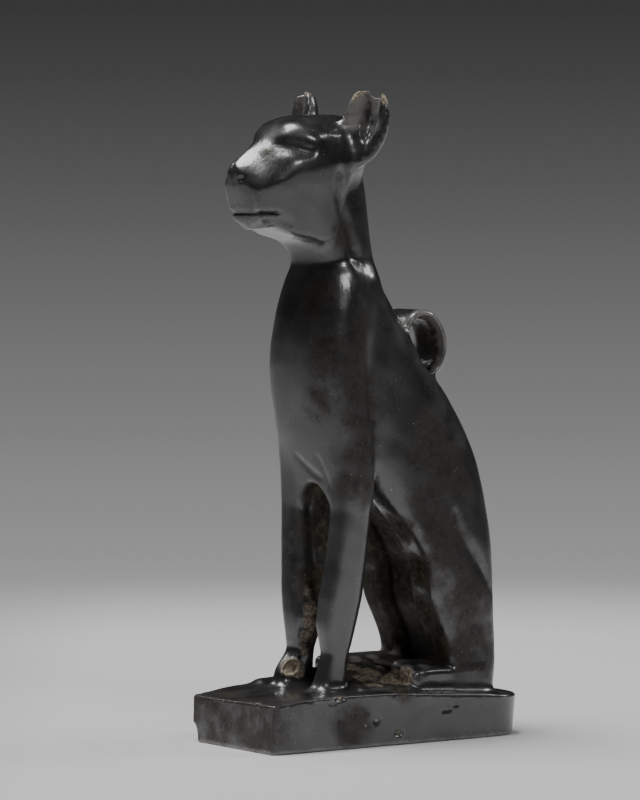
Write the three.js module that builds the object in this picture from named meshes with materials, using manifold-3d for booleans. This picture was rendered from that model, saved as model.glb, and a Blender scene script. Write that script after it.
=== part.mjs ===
// A small seated cat amulet, carved with its hanging loop and plinth from one piece of black stone.
// Millimetres. The plinth stands on z = 0 with its middle over the origin, the cat looks along -Y,
// and its left side is +X.
//
// The figure is carved as a solid field: each function below gives the distance from a point to the
// skin of one form, negative inside the stone. Forms are blended together as they are in the stone,
// and the skin is then walked cell by cell into one closed mesh.

import * as THREE from "three";
import { edgeTable, triTable } from "three/addons/objects/MarchingCubes.js";
import { SimplifyModifier } from "three/addons/modifiers/SimplifyModifier.js";
import { mergeVertices } from "three/addons/utils/BufferGeometryUtils.js";
import Module from "manifold-3d";

// Plinth
const PLINTH_LENGTH = 23.9;
const PLINTH_WIDTH = 11.2;
const PLINTH_HEIGHT = 3.8;
const PLINTH_FRONT_CORNER = 0.35;
const PLINTH_REAR_CORNER = 3.0;
const PLINTH_WORN_EDGE = 0.35;
const PLINTH_FRONT_WEAR = 0.35;
const PLINTH_REAR_WEAR = 0.42;
const PLINTH_REAR_LEAN = 0.35;
const CORNER_CHIP = [0.9, 0.9, 1.5];
// Where the wear and the lean begin, as a share of the way from the middle to the end
const PLINTH_WORN_FROM = 0.58;
const PLINTH_LEANS_FROM = 0.5;

// Cat, from the plinth's top to the broken tips of the ears
const CAT_HEIGHT = 45.4;
const CAT_FORWARD = 0.8;

// Loop on the back: an upright oval hole that runs from side to side
const LOOP_HOLE_HEIGHT = 3.9;
const LOOP_HOLE_DEPTH = 2.7;
const LOOP_WALL = 0.72;
const LOOP_LENGTH = 4.1;
const LOOP_RIM_WEAR = 0.3;

// Fineness of the mesh
const CELL = 0.36;
const TRIANGLES = 9400;

// The carving below is drawn, in millimetres, on a cat of this height, and follows CAT_HEIGHT.
// Heights are above the plinth's top.
const DRAWN_HEIGHT = 45.4;
// The drawn cat's furthest points before or behind its middle, and to each side
const DRAWN_REACH = 11.5;
const DRAWN_HALF_WIDTH = 5.2;

// How softly forms run into each other or end, in millimetres
const BLEND = {
  trunk: 0.6,
  trunkEnds: 1.0,
  belly: 0.9,
  crease: 0.5,
  slot: 0.5,
  foreleg: 0.7,
  forelegEnds: 0.5,
  paw: 0.6,
  pawToLeg: 0.5,
  foot: 0.4,
  web: 0.3,
  footToTrunk: 0.35,
  tail: 0.25,
  loop: 0.6,
  loopEdge: 0.5,
  jawEdge: 0.3,
  head: 0.6,
  headToTrunk: 0.35,
  eye: 0.4,
  mouth: 0.12,
  ear: 0.6,
  earHollow: 0.25,
  fracture: 0.15,
  catToPlinth: 1.2,
};

// Ways to put forms together

const TINY = 1e-6;

const clamp01 = (value) => Math.min(Math.max(value, 0), 1);

function ramp(from, to, value) {
  const share = clamp01((value - from) / (to - from));
  return share * share * (3 - 2 * share);
}

function join(a, b, blend) {
  const near = Math.max(blend - Math.abs(a - b), 0) / blend;
  return Math.min(a, b) - near * near * blend * 0.25;
}

function cut(body, tool, blend) {
  return -join(-body, tool, blend);
}

// Simple forms

function ellipsoid(x, y, z, [cx, cy, cz], [rx, ry, rz]) {
  const dx = x - cx;
  const dy = y - cy;
  const dz = z - cz;
  const reach = Math.hypot(dx / rx, dy / ry, dz / rz);
  const slope = Math.hypot(dx / (rx * rx), dy / (ry * ry), dz / (rz * rz));
  return slope > 0 ? (reach * (reach - 1)) / slope : -Math.min(rx, ry, rz);
}

function block(x, y, z, [cx, cy, cz], [hx, hy, hz], round) {
  const dx = Math.abs(x - cx) - hx + round;
  const dy = Math.abs(y - cy) - hy + round;
  const dz = Math.abs(z - cz) - hz + round;
  const outside = Math.hypot(Math.max(dx, 0), Math.max(dy, 0), Math.max(dz, 0));
  return outside + Math.min(Math.max(dx, dy, dz), 0) - round;
}

// A rod with round ends through a chain of balls [x, y, z, radius].
function rod(x, y, z, balls) {
  let nearest = Infinity;
  for (let i = 0; i + 1 < balls.length; i++) {
    const [ax, ay, az, ar] = balls[i];
    const [bx, by, bz, br] = balls[i + 1];
    const ux = bx - ax;
    const uy = by - ay;
    const uz = bz - az;
    const along = ((x - ax) * ux + (y - ay) * uy + (z - az) * uz) / (ux * ux + uy * uy + uz * uz);
    const t = clamp01(along);
    const distance = Math.hypot(x - ax - t * ux, y - ay - t * uy, z - az - t * uz);
    nearest = Math.min(nearest, distance - ar - t * (br - ar));
  }
  return nearest;
}

// An oval centred on the origin of u and v. Its squareness goes from a roof (1) over round (2) to a
// block with soft corners (5).
function oval(u, v, halfU, halfV, squareness) {
  const pu = Math.abs(u / halfU) + TINY;
  const pv = Math.abs(v / halfV) + TINY;
  const reach = (pu ** squareness + pv ** squareness) ** (1 / squareness);
  const slopeU = (pu / reach) ** (squareness - 1) / halfU;
  const slopeV = (pv / reach) ** (squareness - 1) / halfV;
  return (reach - 1) / Math.hypot(slopeU, slopeV);
}

// A smooth curve through rows of [station, value, value, ...].
function throughRows(rows) {
  const stations = rows.map((row) => row[0]);
  const values = rows.flatMap((row) => row.slice(1));
  return new THREE.CubicInterpolant(stations, values, rows[0].length - 1);
}

function within(station, rows, distance, blend) {
  const first = rows[0][0];
  const last = rows[rows.length - 1][0];
  return -join(-distance, join(station - first, last - station, blend), blend);
}

// Plinth, with its top worn lower at both ends and its rear corners rounded

function plinth(x, y, z) {
  const corner = y < 0 ? PLINTH_FRONT_CORNER : PLINTH_REAR_CORNER;
  const dx = Math.abs(x) - PLINTH_WIDTH / 2 + corner;
  const dy = Math.abs(y) - PLINTH_LENGTH / 2 + corner;
  const side = Math.hypot(Math.max(dx, 0), Math.max(dy, 0)) + Math.min(Math.max(dx, dy), 0) - corner;
  const half = PLINTH_LENGTH / 2;
  const lean = PLINTH_REAR_LEAN * ramp(PLINTH_LEANS_FROM * half, half, y) * (1 - z / PLINTH_HEIGHT);
  const toTheRight = 1 + ramp(0, PLINTH_WIDTH, -2 * x);
  const frontWear = PLINTH_FRONT_WEAR * ramp(PLINTH_WORN_FROM * half, half, -y) * toTheRight;
  const rearWear = PLINTH_REAR_WEAR * ramp(PLINTH_WORN_FROM * half, half, y);
  const top = z - PLINTH_HEIGHT + frontWear + rearWear;
  const out = side + lean + PLINTH_WORN_EDGE;
  const over = top + PLINTH_WORN_EDGE;
  const edge = Math.hypot(Math.max(out, 0), Math.max(over, 0)) + Math.min(Math.max(out, over), 0);
  const chip = ellipsoid(x, y, z, [-PLINTH_WIDTH / 2, -half, 0], CORNER_CHIP);
  return cut(edge - PLINTH_WORN_EDGE, chip, BLEND.fracture);
}

// Body: rows of [height, front, back, half width, squareness in front, squareness behind]

const CHEST = [
  [14.6, -3.9, -1.0, 4.6, 3.0, 3.0],
  [16.2, -4.1, -0.95, 4.75, 2.8, 3.0],
  [20.0, -5.1, -0.8, 4.8, 2.5, 2.6],
  [24.5, -5.95, -0.85, 4.8, 2.4, 2.6],
  [28.3, -5.85, 0.5, 4.45, 2.3, 2.3],
  [30.8, -5.3, 1.1, 4.0, 2.2, 2.2],
  [32.5, -4.85, 1.0, 3.6, 2.1, 2.1],
];
const HINDQUARTERS = [
  [-1.0, 5.6, 10.4, 4.95, 9.0, 3.4],
  [1.0, 5.6, 10.7, 4.95, 9.0, 3.4],
  [3.2, 5.4, 10.85, 4.95, 9.0, 3.4],
  [6.5, 4.0, 10.8, 4.9, 9.0, 3.3],
  [9.8, 3.4, 10.75, 4.9, 9.0, 3.2],
  [12.2, 2.0, 10.65, 4.85, 7.0, 3.1],
  [14.4, 0.1, 10.45, 4.8, 4.0, 3.0],
  [18.0, -3.0, 9.7, 4.75, 2.6, 2.8],
  [22.0, -4.2, 7.6, 4.6, 2.4, 2.5],
  [23.8, -4.2, 6.25, 4.5, 2.4, 2.4],
  [26.0, -4.2, 4.6, 4.4, 2.3, 2.3],
  [29.2, -4.0, 2.3, 4.0, 2.2, 2.2],
  [31.5, -3.6, 1.2, 3.4, 2.1, 2.1],
];
const chestCurve = throughRows(CHEST);
const hindCurve = throughRows(HINDQUARTERS);

function upright(x, y, height, rows, curve, blend) {
  const [front, back, half, before, behind] = curve.evaluate(height);
  const along = y - (front + back) / 2;
  const skin = oval(x, along, half, (back - front) / 2, along < 0 ? before : behind);
  return within(height, rows, skin, blend);
}

// Thigh crease on each flank, and the belly set back between the hind legs
const THIGH_CREASE = [
  [4.9, 6.1, 13.2, 0.35],
  [4.95, 7.2, 11.2, 0.6],
  [4.9, 8.4, 9.0, 0.6],
  [4.3, 9.8, 5.6, 0.3],
];
const BELLY_HALF_WIDTH = 1.7;
const BELLY_SETBACK = 0.9;
const BELLY_TOP = 15.0;

function body(x, y, height) {
  const side = Math.abs(x);
  const chest = upright(x, y, height, CHEST, chestCurve, BLEND.trunkEnds);
  let hind = upright(x, y, height, HINDQUARTERS, hindCurve, BLEND.trunkEnds);
  const front = hindCurve.evaluate(height)[0];
  const recess = Math.max(side - BELLY_HALF_WIDTH, y - front - BELLY_SETBACK, height - BELLY_TOP);
  hind = cut(hind, recess, BLEND.belly);
  hind = cut(hind, rod(side, y, height, THIGH_CREASE), BLEND.crease);
  return join(chest, hind, BLEND.trunk);
}

// Forelegs: rows of [height, across, along, half width, half depth]

const FORELEG = [
  [-0.6, 2.5, -4.2, 1.3, 1.5],
  [1.6, 2.35, -3.8, 1.2, 1.35],
  [3.2, 2.2, -3.35, 1.12, 1.2],
  [6.2, 2.6, -3.0, 1.4, 1.25],
  [9.4, 2.85, -2.75, 1.6, 1.4],
  [13.2, 3.0, -2.5, 1.65, 1.5],
  [17.0, 3.0, -2.5, 1.55, 1.45],
  [20.0, 2.95, -2.5, 1.4, 1.35],
];
const FORELEG_SQUARENESS = 3.4;
const LEG_SLOT_HALF_WIDTH = 1.25;
const LEG_SLOT_TOP = 15.4;
const LEG_SLOT_DEPTH = 1.0;
const TOES = { place: [2.6, -4.9, 0.35], size: [1.35, 1.68, 0.88] };
const PASTERN = [
  [2.4, -3.7, 1.8, 1.1],
  [2.6, -4.95, 0.35, 0.8],
];
const forelegCurve = throughRows(FORELEG);

function forelegs(x, y, height) {
  const [across, along, half, depth] = forelegCurve.evaluate(height);
  const skin = oval(Math.abs(x) - across, y - along, half, depth, FORELEG_SQUARENESS);
  return within(height, FORELEG, skin, BLEND.forelegEnds);
}

// The slot between the forelegs has a round head under the chest.
function legSlot(x, y, height) {
  const overHead = Math.max(height - LEG_SLOT_TOP + LEG_SLOT_HALF_WIDTH, 0);
  return Math.max(Math.hypot(x, overHead) - LEG_SLOT_HALF_WIDTH, y - LEG_SLOT_DEPTH);
}

function paws(x, y, height) {
  const side = Math.abs(x);
  const toes = ellipsoid(side, y, height, TOES.place, TOES.size);
  return join(toes, rod(side, y, height, PASTERN), BLEND.paw);
}

// Hind feet and tail: the left foot has lost its toes, and the tail lies along the right side

const FOOT_TOP = 2.3;
const FOOT_SLOPE = 0.3;
const LEFT_FOOT_FRONT = 2.0;
const RIGHT_FOOT_FRONT = -0.6;
const FOOT_REAR = 9.0;
const FOOT_INNER = 1.6;
const FOOT_OUTER = 4.9;
const FOOT_SINKS = 1.0;
const FOOT_EDGE = 0.35;
const FOOT_SLOPES_FROM = 2.4;
const WEB = { place: [0.0, 4.8, 0.4], half: [1.9, 1.7, 1.35], edge: 0.3 };
const SCAR = { place: [3.0, 0.0, 0.0], half: [1.7, 2.2, 0.7], edge: 0.4 };
const TAIL = [
  [-0.6, 9.7, 7.0, 0.9],
  [-2.6, 9.9, 3.4, 0.95],
  [-4.2, 9.0, 1.2, 0.9],
  [-4.75, 6.8, 0.55, 0.75],
  [-4.8, 1.0, 0.35, 0.65],
  [-4.75, -3.0, 0.2, 0.55],
  [-4.5, -5.5, 0.15, 0.45],
];

function hindFeet(x, y, height) {
  const side = Math.abs(x);
  const front = x > 0 ? LEFT_FOOT_FRONT : RIGHT_FOOT_FRONT;
  const middle = [(FOOT_INNER + FOOT_OUTER) / 2, (front + FOOT_REAR) / 2, (FOOT_TOP - FOOT_SINKS) / 2];
  const half = [(FOOT_OUTER - FOOT_INNER) / 2, (FOOT_REAR - front) / 2, (FOOT_TOP + FOOT_SINKS) / 2];
  const foot = block(side, y, height, middle, half, FOOT_EDGE);
  const slope = height - FOOT_TOP + FOOT_SLOPE * Math.max(x - FOOT_SLOPES_FROM, 0);
  const web = block(x, y, height, WEB.place, WEB.half, WEB.edge);
  const scar = block(x, y, height, SCAR.place, SCAR.half, SCAR.edge);
  return join(join(cut(foot, -slope, BLEND.foot), web, BLEND.web), scar, BLEND.foot);
}

// Loop on the back, square to the cat's length, set into the back by its own wall

const LOOP_PLACE = [5.35, 26.15];
const LOOP_LEAN = 0.18;
const LOOP_SQUARENESS = 2.1;

// The loop's own directions in millimetres: along the hole, across it and up.
function inLoop(x, y, height, scale) {
  const dy = (y - LOOP_PLACE[0]) * scale;
  const dz = (height - LOOP_PLACE[1]) * scale;
  return [x * scale, dy + LOOP_LEAN * dz, dz - LOOP_LEAN * dy];
}

function loop(x, y, height, scale) {
  const [along, across, up] = inLoop(x, y, height, scale);
  const halfDepth = LOOP_HOLE_DEPTH / 2 + LOOP_WALL;
  const halfHeight = LOOP_HOLE_HEIGHT / 2 + LOOP_WALL;
  const ring = oval(across, up, halfDepth, halfHeight, LOOP_SQUARENESS);
  return cut(ring, LOOP_LENGTH / 2 - Math.abs(along), BLEND.loopEdge) / scale;
}

function loopHole(x, y, height, scale) {
  const [along, across, up] = inLoop(x, y, height, scale);
  const hole = oval(across, up, LOOP_HOLE_DEPTH / 2, LOOP_HOLE_HEIGHT / 2, LOOP_SQUARENESS);
  const flare = LOOP_RIM_WEAR * ramp(LOOP_LENGTH / 4, LOOP_LENGTH / 2, Math.abs(along));
  return (hole - flare) / scale;
}

// Neck: rows of [height, front, back, half width, squareness in front, squareness behind]

const NECK = [
  [28.0, -4.9, 1.3, 3.3, 2.2, 2.2],
  [32.0, -4.8, 0.95, 3.2, 2.3, 2.3],
  [34.5, -5.3, 0.5, 3.2, 2.4, 2.4],
  [38.0, -6.0, 0.1, 3.2, 2.5, 2.5],
  [39.6, -6.0, -0.3, 3.1, 2.5, 2.5],
  [41.5, -6.0, -0.8, 3.0, 2.5, 2.5],
];
const neckCurve = throughRows(NECK);

// Head: rows along it of [along, top, widest, bottom, half width, squareness above, squareness below]

const HEAD = [
  [-11.25, 39.4, 39.0, 38.3, 0.4, 2.0, 2.0],
  [-10.95, 39.75, 38.95, 38.15, 1.0, 1.8, 2.0],
  [-10.3, 40.3, 38.9, 37.1, 1.95, 1.4, 1.8],
  [-9.6, 41.0, 39.0, 35.2, 2.5, 1.3, 1.8],
  [-8.5, 42.3, 39.3, 34.6, 3.05, 1.3, 2.4],
  [-7.2, 43.2, 39.7, 34.7, 3.5, 1.7, 3.2],
  [-5.5, 43.45, 40.0, 34.5, 3.85, 2.0, 3.6],
  [-3.5, 43.5, 40.0, 34.6, 3.9, 2.2, 3.2],
  [-1.6, 43.4, 40.1, 37.0, 3.5, 2.2, 2.4],
  [-0.4, 42.7, 40.5, 38.9, 2.6, 2.2, 2.2],
];
const JAW_DROP = 1.1;
const JAW_SLOPE = 0.27;
const headCurve = throughRows(HEAD);

function skull(x, y, height) {
  const [top, widest, bottom, half, above, below] = headCurve.evaluate(y);
  const rise = height - widest;
  const [tall, squareness] = rise > 0 ? [top - widest, above] : [widest - bottom, below];
  const skin = oval(x, rise, half, tall, squareness);
  const flank = (Math.abs(x) - half - JAW_SLOPE * (rise + JAW_DROP)) / Math.hypot(1, JAW_SLOPE);
  return within(y, HEAD, cut(skin, -flank, BLEND.jawEdge), BLEND.head);
}

const EYE = { place: [3.35, -7.8, 40.75], size: [0.95, 1.55, 0.75] };
const MOUTH = [
  [0.5, -10.25, 36.1, 0.22],
  [1.45, -9.6, 36.05, 0.3],
  [2.05, -9.0, 36.0, 0.3],
  [2.55, -8.2, 36.15, 0.18],
];
const JAW_HOLLOW = [
  [1.6, -8.9, 34.3, 0.5],
  [2.5, -7.4, 34.2, 0.7],
  [3.3, -6.0, 34.1, 0.35],
];
const NECK_GROOVE = [
  [3.5, -3.3, 38.6, 0.25],
  [3.4, -3.0, 36.4, 0.35],
  [3.45, -2.7, 34.4, 0.25],
];

function head(x, y, height) {
  const side = Math.abs(x);
  const neck = upright(x, y, height, NECK, neckCurve, BLEND.head);
  let form = join(skull(x, y, height), neck, BLEND.head);
  form = cut(form, ellipsoid(side, y, height, EYE.place, EYE.size), BLEND.eye);
  form = cut(form, rod(side, y, height, MOUTH), BLEND.mouth);
  form = cut(form, rod(side, y, height, JAW_HOLLOW), BLEND.crease);
  return cut(form, rod(side, y, height, NECK_GROOVE), BLEND.eye);
}

// Ears: round cups that face out and forward, broken along their tops, the left one more than the right

const EAR_PLACE = [3.95, -1.6, 42.75];
const EAR_TURN = 0.6;
const EAR_LEAN = 0.08;
const EAR_THICKNESS = 1.05;
const EAR_WIDTH = 1.82;
const EAR_RISE = 2.75;
const EAR_RIM = 0.5;
const EAR_HOLLOW = [0.85, -0.1, 0.1];
const LEFT_EAR_BREAK = { along: -1.7, height: 45.3, slope: 0.5 };
const RIGHT_EAR_BREAK = { along: -2.2, height: 45.55, slope: 0.5 };
const BREAK_WAVE = { height: 0.1, across: 3.0, along: 5.0 };

// The cup's own directions: out through its hollow, across it, and up.
function inEar(x, y, height) {
  const dx = Math.abs(x) - EAR_PLACE[0];
  const dy = y - EAR_PLACE[1];
  const out = dx * Math.cos(EAR_TURN) - dy * Math.sin(EAR_TURN);
  const up = height - EAR_PLACE[2];
  const across = dx * Math.sin(EAR_TURN) + dy * Math.cos(EAR_TURN) - EAR_LEAN * up;
  return [out, across, up];
}

function ears(x, y, height) {
  const form = ellipsoid(...inEar(x, y, height), [0, 0, 0], [EAR_THICKNESS, EAR_WIDTH, EAR_RISE]);
  const top = x > 0 ? LEFT_EAR_BREAK : RIGHT_EAR_BREAK;
  const wave = BREAK_WAVE.height * Math.sin(BREAK_WAVE.along * y + BREAK_WAVE.across * x);
  const broken = height - top.height + top.slope * Math.abs(y - top.along) + wave;
  return cut(form, -broken, BLEND.fracture);
}

function earHollows(x, y, height) {
  const size = [EAR_THICKNESS, EAR_WIDTH - EAR_RIM, EAR_RISE - EAR_RIM];
  return ellipsoid(...inEar(x, y, height), EAR_HOLLOW, size);
}

// The whole figure

function cat(x, y, height, scale) {
  let form = cut(body(x, y, height), legSlot(x, y, height), BLEND.slot);
  form = join(form, forelegs(x, y, height), BLEND.foreleg);
  form = join(form, paws(x, y, height), BLEND.pawToLeg);
  form = join(form, loop(x, y, height, scale), BLEND.loop);
  form = cut(form, loopHole(x, y, height, scale), BLEND.fracture);
  form = join(form, head(x, y, height), BLEND.headToTrunk);
  form = join(form, ears(x, y, height), BLEND.ear);
  form = cut(form, earHollows(x, y, height), BLEND.earHollow);
  form = join(form, hindFeet(x, y, height), BLEND.footToTrunk);
  return join(form, rod(x, y, height, TAIL), BLEND.tail);
}

const SCALE = CAT_HEIGHT / DRAWN_HEIGHT;

function figure(x, y, z) {
  const form = cat(x / SCALE, (y + CAT_FORWARD) / SCALE, (z - PLINTH_HEIGHT) / SCALE, SCALE) * SCALE;
  return join(form, plinth(x, y, z), BLEND.catToPlinth);
}

// Walking the skin of the field into a closed mesh

const CORNERS = [
  [0, 0, 0], [1, 0, 0], [1, 1, 0], [0, 1, 0],
  [0, 0, 1], [1, 0, 1], [1, 1, 1], [0, 1, 1],
];
const EDGES = [
  [0, 1], [1, 2], [2, 3], [3, 0], [4, 5], [5, 6],
  [6, 7], [7, 4], [0, 4], [1, 5], [2, 6], [3, 7],
];
const LEAST_SHARE = 0.06;

function skinOf(field, low, high) {
  const counts = low.map((value, axis) => Math.ceil((high[axis] - value) / CELL) + 1);
  const [nx, ny, nz] = counts;
  const values = new Float32Array(nx * ny * nz);
  const index = (i, j, k) => (k * ny + j) * nx + i;
  const place = (i, j, k) => [low[0] + i * CELL, low[1] + j * CELL, low[2] + k * CELL];
  for (let k = 0; k < nz; k++) {
    for (let j = 0; j < ny; j++) {
      for (let i = 0; i < nx; i++) {
        values[index(i, j, k)] = field(...place(i, j, k));
      }
    }
  }
  const positions = [];
  const triangles = [];
  const known = new Map();
  const vertexOn = (cell, edge) => {
    const [from, to] = EDGES[edge].map((corner) => CORNERS[corner].map((step, axis) => cell[axis] + step));
    const a = index(...from);
    const b = index(...to);
    const key = Math.min(a, b) * values.length + Math.max(a, b);
    if (!known.has(key)) {
      const exact = values[a] / (values[a] - values[b]);
      const share = Math.min(Math.max(exact, LEAST_SHARE), 1 - LEAST_SHARE);
      const start = place(...from);
      const end = place(...to);
      known.set(key, positions.length / 3);
      positions.push(...start.map((value, axis) => value + share * (end[axis] - value)));
    }
    return known.get(key);
  };
  for (let k = 0; k + 1 < nz; k++) {
    for (let j = 0; j + 1 < ny; j++) {
      for (let i = 0; i + 1 < nx; i++) {
        let pattern = 0;
        CORNERS.forEach(([di, dj, dk], corner) => {
          if (values[index(i + di, j + dj, k + dk)] < 0) {
            pattern |= 1 << corner;
          }
        });
        if (edgeTable[pattern] === 0) {
          continue;
        }
        for (let entry = pattern * 16; triTable[entry] !== -1; entry += 3) {
          const [a, b, c] = [0, 1, 2].map((step) => vertexOn([i, j, k], triTable[entry + step]));
          triangles.push(a, c, b);
        }
      }
    }
  }
  const geometry = new THREE.BufferGeometry();
  geometry.setAttribute("position", new THREE.Float32BufferAttribute(positions, 3));
  geometry.setIndex(triangles);
  return geometry;
}

async function lighter(geometry, triangles) {
  const vertices = geometry.getAttribute("position").count;
  const wanted = triangles / 2 + 2;
  return new SimplifyModifier().modify(geometry, Math.max(Math.round(vertices - wanted), 0));
}

// Cutting with solids

const wasm = await Module();
wasm.setup();

function toSolid(geometry) {
  const bare = geometry.clone();
  bare.deleteAttribute("normal");
  bare.deleteAttribute("uv");
  const merged = mergeVertices(bare);
  const mesh = new wasm.Mesh({
    numProp: 3,
    vertProperties: new Float32Array(merged.getAttribute("position").array),
    triVerts: new Uint32Array(merged.index.array),
  });
  return new wasm.Manifold(mesh);
}

function toGeometry(solid) {
  const mesh = solid.getMesh();
  const geometry = new THREE.BufferGeometry();
  geometry.setAttribute("position", new THREE.BufferAttribute(mesh.vertProperties, 3));
  geometry.setIndex(new THREE.BufferAttribute(mesh.triVerts, 1));
  return geometry;
}

// The ground cuts the underside of the plinth flat.
const MARGIN = 1.0;
const SKIRT = 0.8;
const GROUND = 4.0;
const reach = Math.max(PLINTH_LENGTH / 2, CAT_FORWARD + DRAWN_REACH * SCALE) + MARGIN;
const width = Math.max(PLINTH_WIDTH / 2, DRAWN_HALF_WIDTH * SCALE) + MARGIN;
const low = [-width, -reach, -SKIRT - MARGIN];
const high = [width, reach, PLINTH_HEIGHT + CAT_HEIGHT + MARGIN];
const above = (x, y, z) => Math.max(figure(x, y, z), -SKIRT - z);
const carved = await lighter(skinOf(above, low, high), TRIANGLES);
const ground = new THREE.BoxGeometry(4 * width, 4 * reach, GROUND).translate(0, 0, -GROUND / 2);
const shape = toGeometry(toSolid(carved).subtract(toSolid(ground)));
shape.computeVertexNormals();

const stone = new THREE.MeshStandardMaterial({ color: 0x1b1b1e, roughness: 0.22, metalness: 0.35 });
const figureMesh = new THREE.Mesh(shape, stone);
figureMesh.name = "bastet_cat";

const group = new THREE.Group();
group.add(figureMesh);

export default group;
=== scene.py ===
import math

import bpy
import numpy as np
from mathutils import Matrix, Vector


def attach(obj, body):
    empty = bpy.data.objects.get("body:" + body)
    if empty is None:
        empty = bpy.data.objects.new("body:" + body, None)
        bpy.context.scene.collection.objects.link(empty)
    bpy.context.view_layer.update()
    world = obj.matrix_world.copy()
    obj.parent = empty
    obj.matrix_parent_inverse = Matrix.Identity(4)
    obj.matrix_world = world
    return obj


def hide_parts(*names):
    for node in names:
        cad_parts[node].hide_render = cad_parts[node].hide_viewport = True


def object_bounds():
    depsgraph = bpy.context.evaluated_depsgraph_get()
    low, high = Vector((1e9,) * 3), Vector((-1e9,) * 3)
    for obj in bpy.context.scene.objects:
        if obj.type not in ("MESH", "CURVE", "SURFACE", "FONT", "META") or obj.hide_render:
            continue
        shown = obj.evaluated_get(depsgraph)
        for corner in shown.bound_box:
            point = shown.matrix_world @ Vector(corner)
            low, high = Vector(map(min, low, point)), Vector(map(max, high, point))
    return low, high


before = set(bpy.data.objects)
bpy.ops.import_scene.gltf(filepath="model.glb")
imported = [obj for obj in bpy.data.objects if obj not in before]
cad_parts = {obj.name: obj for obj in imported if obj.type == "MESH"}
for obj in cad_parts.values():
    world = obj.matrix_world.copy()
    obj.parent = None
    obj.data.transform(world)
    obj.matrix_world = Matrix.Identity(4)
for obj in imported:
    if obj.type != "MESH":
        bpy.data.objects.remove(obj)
cad_low, cad_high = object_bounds()

# The camera
# A long lens a third of a metre away looks a little down on the cat's left front quarter from about
# the height of its chin, the way the object was photographed.

turn = math.radians(55.1)
tip = math.radians(2.73)
distance = 0.330
aim = Vector((0.0, -0.0008, 0.025))
picture_width, picture_height = 640.0, 800.0
focal_pixels = 4353.0
aim_pixel = (353.9, 409.6)

back = Vector((math.sin(turn) * math.cos(tip), -math.cos(turn) * math.cos(tip), math.sin(tip)))
right = Vector((math.cos(turn), math.sin(turn), 0.0))
up = back.cross(right)
lens = bpy.data.cameras.new("camera")
lens.sensor_fit = "VERTICAL"
lens.sensor_height = 24.0
lens.lens = focal_pixels / picture_height * lens.sensor_height
lens.shift_x = (picture_width / 2.0 - aim_pixel[0]) / picture_height
lens.shift_y = (aim_pixel[1] - picture_height / 2.0) / picture_height
lens.clip_start = 0.01
lens.clip_end = 20.0
camera = bpy.data.objects.new("camera", lens)
bpy.context.collection.objects.link(camera)
turned = Matrix((right, up, back)).transposed().to_4x4()
camera.matrix_world = Matrix.Translation(aim + back * distance) @ turned
bpy.context.scene.camera = camera

# The figure
# Cat, hanging loop and plinth are one piece of haematite, a dense black iron ore, cut with stone and
# sand and polished to a metallic shine. Each form below gives the distance in millimetres from points
# to its skin, less than nought inside; together they are carved out of a fine grid into one mesh.

# Ways to put forms together


def ramp(start, end, value):
    share = np.clip((value - start) / (end - start), 0.0, 1.0)
    return share * share * (3.0 - 2.0 * share)


def join(a, b, blend):
    near = np.maximum(blend - np.abs(a - b), 0.0) / blend
    return np.minimum(a, b) - near * near * blend * 0.25


def cut(body, tool, blend):
    return -join(-body, tool, blend)


def length(*parts):
    return np.sqrt(sum(part * part for part in parts))


def ellipsoid(x, y, z, place, size):
    dx, dy, dz = x - place[0], y - place[1], z - place[2]
    reach = length(dx / size[0], dy / size[1], dz / size[2])
    slope = length(dx / size[0] ** 2, dy / size[1] ** 2, dz / size[2] ** 2)
    return reach * (reach - 1.0) / np.maximum(slope, 1e-9)


def block(x, y, z, place, half, edge):
    dx = np.abs(x - place[0]) - half[0] + edge
    dy = np.abs(y - place[1]) - half[1] + edge
    dz = np.abs(z - place[2]) - half[2] + edge
    outside = length(np.maximum(dx, 0.0), np.maximum(dy, 0.0), np.maximum(dz, 0.0))
    return outside + np.minimum(np.maximum(np.maximum(dx, dy), dz), 0.0) - edge


def rod(x, y, z, balls):
    nearest = np.full(np.shape(x), 1e9)
    for (ax, ay, az, ar), (bx, by, bz, br) in zip(balls, balls[1:]):
        ux, uy, uz = bx - ax, by - ay, bz - az
        along = ((x - ax) * ux + (y - ay) * uy + (z - az) * uz) / (ux * ux + uy * uy + uz * uz)
        t = np.clip(along, 0.0, 1.0)
        gap = length(x - ax - t * ux, y - ay - t * uy, z - az - t * uz)
        nearest = np.minimum(nearest, gap - ar - t * (br - ar))
    return nearest


def oval(u, v, half_u, half_v, squareness):
    pu = np.abs(u / half_u) + 1e-6
    pv = np.abs(v / half_v) + 1e-6
    reach = (pu**squareness + pv**squareness) ** (1.0 / squareness)
    slope_u = (pu / reach) ** (squareness - 1.0) / half_u
    slope_v = (pv / reach) ** (squareness - 1.0) / half_v
    return (reach - 1.0) / length(slope_u, slope_v)


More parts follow.
